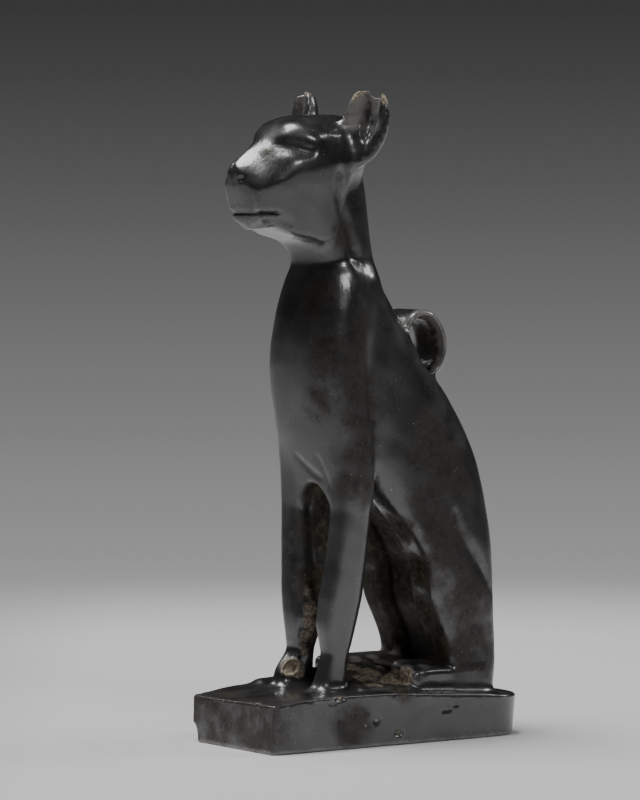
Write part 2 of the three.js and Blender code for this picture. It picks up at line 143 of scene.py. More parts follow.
# A smooth curve through rows of (station, value, value, ...), kept as a close table of its points
def through_rows(rows, count=1500):
    rows = np.array(rows, dtype=float)
    stations, values = rows[:, 0], rows[:, 1:]
    last = len(stations) - 1
    at = np.linspace(stations[0], stations[-1], count)
    i1 = np.clip(np.searchsorted(stations, at, side="right"), 1, last)
    t0, t1 = stations[i1 - 1], stations[i1]
    at_start, at_end = i1 == 1, i1 == last
    i_before = np.where(at_start, i1, i1 - 2)
    i_after = np.where(at_end, i1 - 1, np.minimum(i1 + 1, last))
    t_before = np.where(at_start, 2.0 * t0 - t1, stations[i_before])
    t_after = np.where(at_end, 2.0 * t1 - t0, stations[i_after])
    half = (t1 - t0) / 2.0
    w0, w1 = half / (t0 - t_before), half / (t_after - t1)
    p = (at - t0) / (t1 - t0)
    before = -w0 * p**3 + 2.0 * w0 * p**2 - w0 * p
    start = (1.0 + w0) * p**3 + (-1.5 - 2.0 * w0) * p**2 + (-0.5 + w0) * p + 1.0
    end = (-1.0 - w1) * p**3 + (1.5 + w1) * p**2 + 0.5 * p
    after = w1 * p**3 - w1 * p**2
    parts = [(before, i_before), (start, i1 - 1), (end, i1), (after, i_after)]
    table = sum(share[:, None] * values[index] for share, index in parts)

    def evaluate(station):
        place = np.clip((station - at[0]) / (at[1] - at[0]), 0.0, len(at) - 1.001)
        index = place.astype(int)
        share = place - index
        return [column[index] * (1.0 - share) + column[index + 1] * share for column in table.T]

    return evaluate


# Balls set closely along a smooth curve through a few
def eased(balls, pieces=4):
    curve = through_rows([(index,) + ball for index, ball in enumerate(balls)])
    return list(zip(*curve(np.linspace(0.0, len(balls) - 1.0, pieces * (len(balls) - 1) + 1))))


# A soft valley along a line of balls as wide as they are, or a ridge where steep is less than nought
def valley(x, y, z, balls, steep):
    deep = np.zeros(np.shape(x))
    for before, ball, after in zip(balls, balls[1:], balls[2:]):
        spacing = math.dist(before[:3], after[:3]) / 2.0
        gap = (x - ball[0]) ** 2 + (y - ball[1]) ** 2 + (z - ball[2]) ** 2
        deep += steep * spacing / math.sqrt(math.pi) * np.exp(-gap / ball[3] ** 2)
    return deep


def within(station, rows, distance, blend):
    return cut(distance, join(station - rows[0][0], rows[-1][0] - station, blend), blend)


# Plinth, its top worn lower toward the rear and at its front corners, its rear corners rounded, with
# its top as rows of (along, height) and its nicks as (across, along, height, size)

PLINTH = (11.2, 23.9, 3.8)
PLINTH_EDGE = 0.24
FRONT_CORNER = 0.35
REAR_CORNER = 3.0
PLINTH_TOP = [
    (-12.0, 3.66),
    (-8.8, 3.95),
    (-5.5, 4.02),
    (-1.5, 3.98),
    (3.2, 3.62),
    (8.8, 3.22),
    (12.0, 3.1),
]
PLINTH_NICKS = [
    (5.6, -5.9, 3.9, 0.3),
    (5.7, -6.6, 3.5, 0.25),
    (5.7, -2.6, 2.0, 0.3),
    (5.7, -3.6, 1.7, 0.22),
    (5.7, 3.9, 2.4, 0.3),
    (5.7, 4.7, 2.7, 0.22),
    (5.6, -0.6, 0.9, 0.25),
    (3.2, -12.0, 3.6, 0.3),
]
plinth_curve = through_rows(PLINTH_TOP)


def plinth(x, y, z):
    width, depth, tall = PLINTH
    half = depth / 2.0
    corner = np.where(y < 0.0, FRONT_CORNER, REAR_CORNER)
    dx = np.abs(x) - width / 2.0 + corner
    dy = np.abs(y) - half + corner
    outside = length(np.maximum(dx, 0.0), np.maximum(dy, 0.0))
    side = outside + np.minimum(np.maximum(dx, dy), 0.0) - corner
    rear_lean = 0.35 * ramp(0.5 * half, half, y) * (1.0 - z / tall)
    lean = rear_lean + 0.15 * ramp(-0.9 * half, -half, y) * z / tall
    worn_corner = 0.15 * ramp(-0.6 * half, -half, y) * ramp(width / 2.0, -width / 2.0, x)
    out = side + lean + PLINTH_EDGE
    over = z - plinth_curve(y)[0] + worn_corner + PLINTH_EDGE
    rounded = length(np.maximum(out, 0.0), np.maximum(over, 0.0))
    worn = rounded + np.minimum(np.maximum(out, over), 0.0) - PLINTH_EDGE
    chip = ellipsoid(x, y, z, (-width / 2.0, -half, 0.0), (0.9, 0.9, 1.5))
    for nick in PLINTH_NICKS:
        chip = np.minimum(chip, ellipsoid(x, y, z, nick[:3], (0.6 * nick[3], 1.6 * nick[3], nick[3])))
    return cut(worn, chip, 0.12)


# Body: rows of (height, front, back, half width, squareness in front, squareness behind)

CHEST = [
    (14.2, -3.8, -1.0, 4.7, 3.0, 3.0),
    (16.2, -4.1, -0.95, 4.9, 2.8, 3.0),
    (20.0, -5.1, -0.8, 4.92, 2.5, 2.6),
    (24.5, -5.95, -0.85, 4.75, 2.4, 2.6),
    (28.3, -5.85, 0.5, 4.38, 2.3, 2.3),
    (30.8, -5.3, 1.1, 3.98, 2.2, 2.2),
    (32.5, -4.85, 1.0, 3.6, 2.1, 2.1),
]
HINDQUARTERS = [
    (-1.0, 5.6, 10.4, 4.95, 9.0, 3.4),
    (1.0, 5.6, 10.7, 4.95, 9.0, 3.4),
    (3.2, 5.4, 10.85, 4.85, 9.0, 3.4),
    (6.5, 4.0, 10.8, 4.95, 9.0, 3.3),
    (9.8, 3.4, 10.75, 5.0, 9.0, 3.2),
    (12.2, 2.0, 10.65, 4.93, 7.0, 3.1),
    (14.4, 0.1, 10.45, 4.82, 4.0, 3.0),
    (18.0, -3.0, 9.7, 4.6, 2.6, 2.8),
    (22.0, -4.2, 7.6, 4.35, 2.4, 2.5),
    (23.8, -4.2, 6.25, 4.25, 2.4, 2.4),
    (26.0, -4.2, 4.6, 4.1, 2.3, 2.3),
    (29.2, -4.0, 2.3, 3.8, 2.2, 2.2),
    (31.5, -3.6, 1.2, 3.4, 2.1, 2.1),
]
THIGH_CREASE = eased([
    (4.8, 5.9, 13.6, 0.25),
    (4.9, 6.3, 12.2, 0.45),
    (4.9, 7.0, 10.9, 0.55),
    (4.8, 7.9, 9.7, 0.55),
    (4.7, 8.8, 8.4, 0.45),
    (4.4, 9.5, 6.9, 0.25),
])
SHANK = eased([
    (4.9, 2.9, 12.2, 0.9),
    (4.95, 4.2, 10.0, 1.3),
    (4.95, 5.6, 8.4, 1.5),
    (4.85, 7.4, 6.9, 1.4),
    (4.6, 9.0, 5.8, 1.0),
])
SHOULDER_FACETS = [
    ((3.4, -3.4, 31.9), (0.86, -0.37, 0.36), 0.06),
    ((3.35, -0.6, 31.9), (0.84, 0.21, 0.5), 0.08),
]
ARM_FOLDS = [
    eased([(-1.3, -4.5, 17.9, 0.3), (0.4, -4.2, 16.7, 0.35), (1.7, -4.05, 16.2, 0.3)]),
    eased([(1.5, -4.5, 18.0, 0.3), (2.1, -4.2, 16.6, 0.35), (2.6, -4.0, 15.4, 0.3)]),
]
chest_curve = through_rows(CHEST)
hind_curve = through_rows(HINDQUARTERS)


def upright(x, y, height, rows, curve, blend):
    front, rear, half, before, behind = curve(height)
    along = y - (front + rear) / 2.0
    skin = oval(x, along, half, (rear - front) / 2.0, np.where(along < 0.0, before, behind))
    return within(height, rows, skin, blend)


def body(x, y, height):
    side = np.abs(x)
    chest = upright(x, y, height, CHEST, chest_curve, 1.0)
    hind = upright(x, y, height, HINDQUARTERS, hind_curve, 1.0)
    front = hind_curve(height)[0]
    recess = np.maximum(np.maximum(side - 1.7, y - front - 0.9), height - 15.0)
    hind = cut(hind, recess, 0.9)
    hind = hind + valley(side, y, height, THIGH_CREASE, 0.42) - valley(side, y, height, SHANK, 0.13)
    chest = chest + sum(valley(x, y, height, fold, 0.3) for fold in ARM_FOLDS)
    for (px, py, pz), (nx, ny, nz), deep in SHOULDER_FACETS:
        over = (side - px) * nx + (y - py) * ny + (height - pz) * nz + deep
        chest = cut(chest, -over, 0.3)
    return join(chest, hind, 0.6)


# Forelegs: rows of (height, across, along, half width, half depth)

FORELEG = [
    (-0.6, 2.2, -3.75, 0.9, 1.35),
    (0.6, 2.2, -3.65, 0.9, 1.2),
    (1.5, 2.22, -3.5, 0.9, 1.1),
    (2.4, 2.24, -3.4, 0.92, 1.0),
    (3.1, 2.27, -3.3, 0.95, 1.0),
    (3.8, 2.25, -3.22, 1.05, 1.15),
    (5.15, 2.2, -3.1, 1.35, 1.4),
    (6.85, 2.45, -2.95, 1.45, 1.5),
    (9.9, 2.92, -2.72, 1.42, 1.45),
    (12.1, 3.15, -2.58, 1.4, 1.42),
    (14.4, 3.31, -2.44, 1.4, 1.45),
    (17.0, 3.3, -2.4, 1.4, 1.4),
    (20.0, 3.1, -2.4, 1.4, 1.35),
]
foreleg_curve = through_rows(FORELEG)


# The right paw reaches further forward, and a flake is lost from its inner side
def forelegs(x, y, height):
    across, along, half, depth = foreleg_curve(height)
    reach = np.where(x < 0.0, 0.45, 0.1) * ramp(3.3, 1.2, height)
    behind = y - along + reach
    skin = oval(np.abs(x) - across, behind, half, depth + reach, np.where(behind > 0.0, 2.2, 3.2))
    legs = within(height, FORELEG, skin, 0.5)
    web = block(x, y, height, (0.0, -2.2, 10.3), (2.2, 0.4, 5.6), 0.3)
    flake = ellipsoid(x, y, height, (-0.85, -5.05, 1.8), (1.05, 1.0, 0.72))
    return cut(join(legs, web, 0.4), flake, 0.08)


LEG_SLOT_TOP = 15.7
LEG_SLOT_HALF = 1.6
LEG_SLOT_REAR = 1.0


def leg_slot(x, y, height):
    over_head = np.maximum(height - LEG_SLOT_TOP + LEG_SLOT_HALF, 0.0)
    return np.maximum(length(x, over_head) - LEG_SLOT_HALF, y - LEG_SLOT_REAR)


# Hind feet and tail: the left foot has lost its toes, and the tail lies along the right side

HEEL = 9.0
LEFT_FOOT_FRONT = 2.0
RIGHT_FOOT_FRONT = -0.6
FOOT_TOP = 2.3
FOOT_EDGE = 0.75
TAIL = [
    (-0.6, 9.7, 7.0, 0.9),
    (-2.6, 9.9, 3.4, 0.95),
    (-4.2, 9.0, 1.2, 0.9),
    (-4.75, 6.8, 0.55, 0.75),
    (-4.8, 1.0, 0.35, 0.65),
    (-4.75, -3.0, 0.2, 0.55),
    (-4.5, -5.5, 0.15, 0.45),
]


def hind_feet(x, y, height):
    side = np.abs(x)
    front = np.where(x > 0.0, LEFT_FOOT_FRONT, RIGHT_FOOT_FRONT)
    half = (1.65, (HEEL - front) / 2.0, 1.65)
    foot = block(side, y - (front + HEEL) / 2.0, height, (3.25, 0.0, 0.65), half, FOOT_EDGE)
    slope = height - FOOT_TOP + 0.3 * np.maximum(x - 2.4, 0.0)
    web = block(x, y, height, (0.0, 4.8, 0.4), (1.9, 1.7, 1.35), 0.3)
    bed = block(x, y, height, (1.5, 0.0, 0.0), (3.1, 2.5, 2.0), 0.4)
    jagged = 0.06 * np.sin(4.0 * y + 2.2 * x) + 0.04 * np.sin(9.0 * y - 3.0 * x + 2.0 * height)
    scar = cut(bed, -(height - 0.5 - 0.24 * np.maximum(4.4 - x, 0.0) + jagged), 0.3)
    form = join(join(cut(foot, -slope, 0.4), web, 0.3), scar, 0.4)
    torn = np.exp(-(((x - 3.6) / 1.8) ** 2) - ((y - 1.6) / 1.3) ** 2 - ((height - 0.9) / 1.0) ** 2)
    form += 0.16 * torn * np.sin(2.6 * x + 1.7 * height) * np.sin(3.1 * height - 1.3 * x + 0.8 * y)
    return form + 0.06 * torn * np.sin(8.0 * x - 5.0 * y) * np.sin(7.0 * height + 4.0 * x + 2.0 * y)


# Loop on the back, an upright oval with its hole running from side to side

LOOP_PLACE = (5.35, 26.15)
LOOP_LEAN = 0.18
LOOP_HOLE = (2.7, 3.9)
LOOP_WALL = 0.72
LOOP_LENGTH = 4.1


def in_loop(y, height):
    dy, dz = y - LOOP_PLACE[0], height - LOOP_PLACE[1]
    return dy + LOOP_LEAN * dz, dz - LOOP_LEAN * dy


def loop(x, y, height):
    across, rise = in_loop(y, height)
    ring = oval(across, rise, LOOP_HOLE[0] / 2.0 + LOOP_WALL, LOOP_HOLE[1] / 2.0 + LOOP_WALL, 2.1)
    return cut(ring, LOOP_LENGTH / 2.0 - np.abs(x), 0.5)


def loop_hole(x, y, height):
    across, rise = in_loop(y, height)
    flare = 0.3 * ramp(LOOP_LENGTH / 4.0, LOOP_LENGTH / 2.0, np.abs(x))
    return oval(across, rise, LOOP_HOLE[0] / 2.0, LOOP_HOLE[1] / 2.0, 2.1) - flare


# Neck, as rows of the body's kind, and head, as rows along it of
# (along, top, widest, bottom, half width, squareness above, squareness below)

NECK = [
    (28.0, -4.9, 1.3, 3.3, 2.2, 2.2),
    (32.0, -4.8, 0.95, 3.2, 2.3, 2.3),
    (34.5, -5.4, 0.5, 3.15, 2.4, 2.4),
    (38.0, -6.0, 0.1, 2.95, 2.5, 2.5),
    (39.6, -6.0, -0.3, 2.85, 2.5, 2.5),
    (41.5, -6.0, -0.8, 2.7, 2.5, 2.5),
]
HEAD = [
    (-11.25, 39.4, 38.9, 38.3, 0.4, 2.0, 2.0),
    (-10.95, 39.75, 38.4, 37.9, 1.05, 1.7, 2.0),
    (-10.3, 40.3, 37.75, 36.7, 2.0, 1.35, 2.4),
    (-9.6, 40.8, 37.85, 35.05, 2.55, 1.3, 3.4),
    (-8.5, 41.75, 38.2, 34.95, 3.1, 1.6, 4.2),
    (-7.2, 42.95, 38.7, 34.45, 3.5, 1.95, 5.0),
    (-5.5, 43.45, 38.95, 34.05, 3.85, 2.1, 5.0),
    (-4.5, 43.5, 39.1, 33.9, 3.9, 2.2, 4.0),
    (-3.8, 43.5, 39.2, 34.6, 3.88, 2.2, 4.0),
    (-3.2, 43.5, 39.3, 36.8, 3.8, 2.2, 3.0),
    (-2.7, 43.5, 39.5, 38.2, 3.7, 2.2, 2.4),
    (-1.6, 43.4, 39.8, 38.8, 3.5, 2.2, 2.4),
    (-0.4, 42.7, 40.5, 39.4, 2.6, 2.2, 2.2),
]
BROW = eased([
    (1.3, -7.2, 42.6, 0.5),
    (1.9, -6.9, 42.5, 0.8),
    (2.6, -6.3, 42.2, 0.9),
    (3.1, -5.8, 41.8, 0.8),
    (3.5, -5.3, 41.3, 0.5),
])
EYE_SCOOP = eased([
    (1.7, -8.6, 41.35, 0.4),
    (2.3, -8.0, 41.2, 0.6),
    (2.8, -7.4, 41.0, 0.6),
    (3.2, -6.8, 40.8, 0.5),
    (3.5, -6.1, 40.7, 0.35),
])
PHILTRUM = eased([
    (0.35, -11.3, 38.6, 0.12),
    (0.25, -11.1, 38.0, 0.16),
    (0.1, -10.7, 37.2, 0.16),
    (0.0, -10.3, 36.5, 0.12),
])
JAW_HOLLOW = eased([
    (0.3, -9.7, 34.9, 0.3),
    (1.1, -9.6, 35.1, 0.35),
    (2.1, -9.2, 35.4, 0.4),
    (2.6, -8.5, 35.5, 0.4),
    (2.75, -7.7, 35.2, 0.35),
])
NECK_GROOVE = eased([
    (3.8, -3.9, 39.4, 0.35),
    (3.6, -3.8, 37.8, 0.45),
    (3.35, -3.35, 36.6, 0.45),
    (3.2, -2.9, 35.2, 0.45),
    (3.2, -2.3, 33.4, 0.45),
    (3.3, -1.8, 32.2, 0.4),
])
FLANK_LEAN = 0.22
MOUTH_HEIGHT = 36.1
MOUTH_DEPTH = 0.4
MOUTH_WIDTH = 0.17
neck_curve = through_rows(NECK)
head_curve = through_rows(HEAD)


# A soft swelling, or a hollow where its height is less than nought
def swell(x, y, z, place, size, height):
    dx, dy, dz = (x - place[0]) / size[0], (y - place[1]) / size[1], (z - place[2]) / size[2]
    return height * np.exp(-(dx**2 + dy**2 + dz**2))


def skull(x, y, height):
    top, widest, bottom, half, above, below = head_curve(y)
    rise = height - widest
    tall = np.where(rise > 0.0, top - widest, widest - bottom)
    skin = oval(x, rise, half, tall, np.where(rise > 0.0, above, below))
    flank = (np.abs(x) - half - FLANK_LEAN * (rise - 0.1)) / math.hypot(1.0, FLANK_LEAN)
    return within(y, HEAD, cut(skin, -flank, 0.2), 0.6)


def head(x, y, height):
    side = np.abs(x)
    form = skull(x, y, height)
    form = form + valley(side, y, height, BROW, -0.4)
    form = form - swell(side, y, height, (2.1, -7.8, 41.8), (0.9, 0.8, 0.8), 0.2)
    form = form - swell(side, y, height, (2.9, -9.5, 38.9), (1.2, 1.2, 1.3), 0.12)
    form = form + valley(side, y, height, EYE_SCOOP, 0.7)
    lips = MOUTH_HEIGHT + 0.03 * (y + 9.0) ** 2
    open_by = MOUTH_DEPTH * ramp(-8.2, -8.9, y) * ramp(-11.4, -9.6, y)
    form = form + open_by * np.exp(-(((height - lips) / MOUTH_WIDTH) ** 2))
    form = form + valley(x, y, height, PHILTRUM, 0.6)
    form = form - swell(side, y, height, (0.95, -10.85, 38.6), (0.3, 0.3, 0.25), -0.25)
    form = form + valley(side, y, height, JAW_HOLLOW, 0.9)
    form = join(form, upright(x, y, height, NECK, neck_curve, 0.6), 1.2)
    return form + valley(side, y, height, NECK_GROOVE, 0.8)


# Ears: cups that open forward and out, broken along their tops, the left one more than the right

EAR_PLACE = (3.95, -1.6, 42.75)
EAR_TURN = 1.05
RIGHT_EAR_TURN_MORE = 0.3
EAR_TOP = 45.3


def in_ear(x, y, height):
    right = ramp(0.5, -0.5, x)
    turn = EAR_TURN + RIGHT_EAR_TURN_MORE * right
    dx = np.abs(x) - EAR_PLACE[0] - 0.15 * right
    dy = y - EAR_PLACE[1] + 0.3 * right
    rise = height - EAR_PLACE[2]
    out = dx * np.cos(turn) - dy * np.sin(turn) + 0.12 * rise
    across = dx * np.sin(turn) + dy * np.cos(turn) - 0.08 * rise
    return out, across, rise


def ears(x, y, height):
    out, across, rise = in_ear(x, y, height)
    form = ellipsoid(out, across, rise, (0.2, 0.0, 0.0), (1.3, 1.85, 3.0))
    form = cut(form, 0.35 - out, 0.3)
    hollow = ellipsoid(out, across, rise, (2.0, 0.3, 1.4), (2.6, 0.95, 4.0))
    form = cut(form, hollow, 0.3)
    form += 0.012 * np.sin(7.0 * rise + 4.0 * across) * np.sin(5.0 * across - 3.0 * rise + 2.0 * out)
    peak = np.where(x > 0.0, -1.7, -2.5)
    broken = height - EAR_TOP + np.where(x > 0.0, 0.5, 0.2) * np.abs(y - peak)
    broken += 0.1 * np.sin(5.0 * y + 3.0 * x) + 0.05 * np.sin(11.0 * y - 7.0 * x)
    return cut(form, -broken, 0.1)


# The whole figure, and the ground that cuts its underside flat

CAT_FORWARD = 0.8


def cat(x, y, height):
    form = cut(body(x, y, height), leg_slot(x, y, height), 0.5)
    form = join(form, forelegs(x, y, height), 0.7)
    form = join(form, loop(x, y, height), 0.6)
    form = cut(form, loop_hole(x, y, height), 0.15)
    form = join(form, head(x, y, height), 0.35)
    form = join(form, ears(x, y, height), 1.0)
    form = join(form, hind_feet(x, y, height), 0.35)
    return join(form, rod(x, y, height, TAIL), 0.25)


# The hand-ground faces are a little uneven
def figure(points):
    x, y, z = points[:, 0], points[:, 1], points[:, 2]
    form = join(cat(x, y + CAT_FORWARD, z - PLINTH[2]), plinth(x, y, z), 1.0)
    uneven = 0.02 * np.sin(0.9 * z + 0.7 * y) * np.sin(0.8 * x - 0.6 * y + 0.5 * z)
    uneven += 0.008 * np.sin(2.3 * z - 1.1 * x + 0.4) * np.sin(1.9 * y + 1.4 * x + 0.8 * z)
    return np.maximum(form + uneven, -z)


# The skin of the field: one point in each grid cell that the skin crosses, joined across cell walls

BATCH = 150000


def measure(points):
    values = np.empty(len(points))
    for start in range(0, len(points), BATCH):
        values[start : start + BATCH] = figure(points[start : start + BATCH])
    return values


def skin_of_grid(low, high, cell):
    counts = [int(math.ceil((high[axis] - low[axis]) / cell)) + 1 for axis in range(3)]
    lines = [low[axis] + cell * np.arange(counts[axis]) for axis in range(3)]
    grid = np.stack(np.meshgrid(*lines, indexing="ij"), -1).reshape(-1, 3)
    values = measure(grid).reshape(counts)
    inside = values < 0.0
    shape = tuple(count - 1 for count in counts)
    total = np.zeros(shape + (3,))
    crossings = np.zeros(shape)
    for axis in range(3):
        head_cut = [slice(None)] * 3
        tail_cut = [slice(None)] * 3
        head_cut[axis] = slice(0, -1)
        tail_cut[axis] = slice(1, None)
        a, b = values[tuple(head_cut)], values[tuple(tail_cut)]
        crossed = (a < 0.0) != (b < 0.0)
        share = np.where(crossed, a / np.where(crossed, a - b, 1.0), 0.0)
        others = [other for other in range(3) if other != axis]
        for first in (0, 1):
            for second in (0, 1):
                window = [slice(None)] * 3
                window[others[0]] = slice(first, counts[others[0]] - 1 + first)
                window[others[1]] = slice(second, counts[others[1]] - 1 + second)
                here = crossed[tuple(window)]
                crossings += here
                total[..., axis] += share[tuple(window)] * here
                total[..., others[0]] += first * here
                total[..., others[1]] += second * here
    active = crossings > 0
    number = np.full(shape, -1)
    number[active] = np.arange(active.sum())
    corner = np.argwhere(active)
    points = np.array(low) + cell * (corner + total[active] / crossings[active][:, None])
    faces = []
    for axis in range(3):
        one, two = (axis + 1) % 3, (axis + 2) % 3
        here = [slice(1, -1)] * 3
        there = [slice(1, -1)] * 3
        here[axis] = slice(0, -1)
        there[axis] = slice(1, None)
        a, b = inside[tuple(here)], inside[tuple(there)]
        crossed = np.argwhere(a != b)
        outward = a[tuple(crossed.T)]
        crossed[:, [one, two]] += 1
        around = []
        for step_one, step_two in ((-1, -1), (0, -1), (0, 0), (-1, 0)):
            cell_at = crossed.copy()
            cell_at[:, one] += step_one
            cell_at[:, two] += step_two
            around.append(number[tuple(cell_at.T)])
        quads = np.stack(around, 1)
        quads[~outward] = quads[~outward][:, ::-1]
        faces.append(quads)
    quads = np.concatenate(faces)
    return points, np.concatenate([quads[:, [0, 1, 2]], quads[:, [0, 2, 3]]])


# How steeply the distance grows along each axis, by a small step to either side
def slopes(points, step=0.01):
    values = []
    for axis in range(3):
        shift = np.zeros(3)
        shift[axis] = step
        values.append((measure(points + shift) - measure(points - shift)) / (2.0 * step))
    return np.stack(values, 1)


def directions(points):
    slope = slopes(points)
    return slope / np.maximum(np.linalg.norm(slope, axis=1), 1e-9)[:, None]


# Points are moved onto the skin, in a few rounds of short steps
def settle(points, rounds, most):
    for _ in range(rounds):
        slope = slopes(points)
        steep = np.maximum((slope * slope).sum(1), 0.05)
        move = -(measure(points) / steep)[:, None] * slope
        far = np.linalg.norm(move, axis=1)
        move *= np.minimum(1.0, most / np.maximum(far, 1e-9))[:, None]
        points = points + move
    return points


# Each chosen triangle is cut in four, and its neighbours are cut in two or three to fit
def refine(points, triangles, chosen):
    sides = np.sort(triangles[:, [[0, 1], [1, 2], [2, 0]]], axis=2)
    keys = sides[..., 0].astype(np.int64) * len(points) + sides[..., 1]
    names, place = np.unique(keys, return_inverse=True)
    place = place.reshape(keys.shape)
    split = np.zeros(len(names), bool)
    split[place[chosen].ravel()] = True
    crowded = split[place].sum(1) == 2
    while crowded.any():
        split[place[crowded].ravel()] = True
        crowded = split[place].sum(1) == 2
    new = np.full(len(names), -1)
    new[split] = len(points) + np.arange(split.sum())
    ends = np.stack([names // len(points), names % len(points)], 1)[split]
    points = np.concatenate([points, points[ends].mean(1)])
    middle = new[place]
    count = (middle >= 0).sum(1)
    kept = [triangles[count == 0]]
    a, b, c = triangles[count == 3].T
    ab, bc, ca = middle[count == 3].T
    for corners in ((a, ab, ca), (b, bc, ab), (c, ca, bc), (ab, bc, ca)):
        kept.append(np.stack(corners, 1))
    once = count == 1
    turn_by = middle[once].argmax(1)
    rows = np.arange(once.sum())
    a, b, c = (triangles[once][rows, (turn_by + step) % 3] for step in range(3))
    ab = middle[once][rows, turn_by]
    kept += [np.stack((a, ab, c), 1), np.stack((ab, b, c), 1)]
    return points, np.concatenate(kept)


# The grid's triangles are refined twice: where their corners face apart, or their middle is off the skin
GRID_LOW = np.array([-6.9, -13.3, -0.9])
GRID_HIGH = np.array([6.9, 13.3, 50.3])
GRID_CELL = 0.3
LEAST_AGREEMENT = (0.965, 0.95)
MOST_OFF_SKIN = 0.025
MILLIMETRE = 0.001

points, triangles = skin_of_grid(GRID_LOW, GRID_HIGH, GRID_CELL)
points = settle(points, 3, 0.2)
for least in LEAST_AGREEMENT:
    normals = directions(points)
    a, b, c = (normals[triangles[:, index]] for index in range(3))
    agree = np.minimum(np.minimum((a * b).sum(1), (b * c).sum(1)), (c * a).sum(1))
    missed = np.abs(measure(points[triangles].mean(1))) > MOST_OFF_SKIN
    points, triangles = refine(points, triangles, (agree < least) | missed)
    points = settle(points, 2, 0.1)
normals = directions(points)

places = np.clip(points * MILLIMETRE, np.array(cad_low), np.array(cad_high))
mesh = bpy.data.meshes.new("carved_figure")
mesh.from_pydata(places.tolist(), [], triangles.tolist())
mesh.polygons.foreach_set("use_smooth", np.ones(len(triangles), bool))
mesh.normals_split_custom_set_from_vertices(normals.tolist())
carving = bpy.data.objects.new("carved_figure", mesh)
bpy.context.collection.objects.link(carving)
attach(carving, "root")
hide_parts("bastet_cat")

# Where the stone isn't black and polished, as balls of (across, along, height, size) in the cat's own
# millimetres: broken stone, old unpolished stone with dirt in it, a brown bloom that is painted shade
# low on the plinth's front, and rubbed pale edges that are also painted highlight

BROKEN = [
    (3.1, -2.2, 45.0, 0.5),
    (3.6, -1.9, 45.4, 0.5),
    (4.1, -1.6, 45.5, 0.5),
    (4.6, -1.2, 45.4, 0.55),
    (5.0, -0.9, 45.2, 0.6),
    (5.4, -0.7, 44.6, 0.5),
    (-3.2, -1.9, 45.5, 0.45),
    (-3.7, -2.1, 45.5, 0.45),
    (-1.5, -4.8, 1.8, 0.75),
    (-1.2, -4.2, 1.5, 0.6),
    (2.6, 1.7, 0.9, 0.8),
    (3.9, 1.8, 1.1, 0.8),
    (3.4, 0.9, 0.2, 1.0),
    (2.2, -0.6, 0.5, 1.0),
    (3.9, -1.0, -0.1, 0.9),
    (1.0, 0.6, 0.8, 1.0),
    (-0.3, -0.3, 1.0, 1.0),
    (-0.3, -3.6, 7.4, 0.85),
    (-0.2, -3.6, 6.2, 0.9),
    (-0.2, -3.6, 5.0, 0.9),
    (-0.4, -3.7, 3.9, 0.9),
    (-0.6, -3.7, 3.0, 0.8),
]
for nick_across, nick_along, nick_height, size in PLINTH_NICKS:
    BROKEN.append((nick_across, nick_along + CAT_FORWARD, nick_height - PLINTH[2], 0.7 * size))
UNPOLISHED = [
    (-1.6, -3.0, 3.4, 0.9),
    (-1.6, -3.0, 5.6, 1.1),
    (-1.5, -3.0, 8.4, 1.2),
    (0.0, -3.0, 8.0, 1.7),
    (0.0, -3.0, 12.0, 2.1),
    (0.0, -3.0, 14.2, 1.8),
    (0.0, 3.5, 4.0, 3.0),
    (0.0, 3.5, 8.0, 3.0),
    (0.0, 2.0, 11.5, 3.0),
    (-3.3, 3.4, 11.0, 2.4),
    (-3.3, 4.6, 7.0, 2.4),
    (-3.2, 5.4, 3.5, 2.4),
    (3.0, 1.6, 12.0, 1.5),
    (3.0, 3.3, 9.0, 1.5),
    (3.0, 4.4, 6.0, 1.5),
    (3.0, 5.3, 3.0, 1.6),
    (0.0, 5.35, 26.15, 1.9),
    (3.0, -0.6, 0.6, 1.7),
    (3.0, 1.2, 0.6, 1.6),
    (0.8, -0.5, 1.2, 1.7),
    (0.8, 1.2, 1.2, 1.6),
    (-0.8, 0.5, 1.6, 1.4),
    (4.8, 0.8, 0.2, 1.0),
    (1.7, -9.3, 40.9, 0.7),
    (2.0, -8.9, 41.1, 0.7),
    (2.3, -8.5, 41.2, 0.6),
]
BLOOM_AND_FRONT_SHADE = [
    (4.8, 7.5, 7.0, 2.6),
    (4.8, 8.0, 3.0, 2.4),
    (4.9, 4.0, 9.0, 1.6),
    (4.75, 3.6, 14.0, 1.8),
    (4.85, 6.0, 9.5, 1.3),
    (4.5, -2.8, 24.0, 1.9),
    (4.7, -2.6, 21.5, 2.0),
    (4.6, -2.6, 18.5, 1.8),
    (4.3, -2.8, 15.5, 1.6),
    (3.6, -4.6, 25.5, 1.8),
    (4.3, -2.4, 27.0, 1.6),
    (2.4, -4.6, 29.5, 1.6),
    (2.6, -4.8, 22.0, 1.4),
    (3.6, -3.0, 34.5, 1.2),
    (4.8, 3.5, 19.0, 2.2),
    (4.7, 6.0, 16.5, 2.2),
    (4.8, 5.0, 12.0, 2.0),
    # The two balls low under the plinth's front are painted shade: they make its front face duller and
    # darker
    (-3.0, -11.5, -2.0, 3.5),
    (3.0, -11.5, -2.0, 3.0),
    (5.6, -4.0, -2.0, 1.6),
]
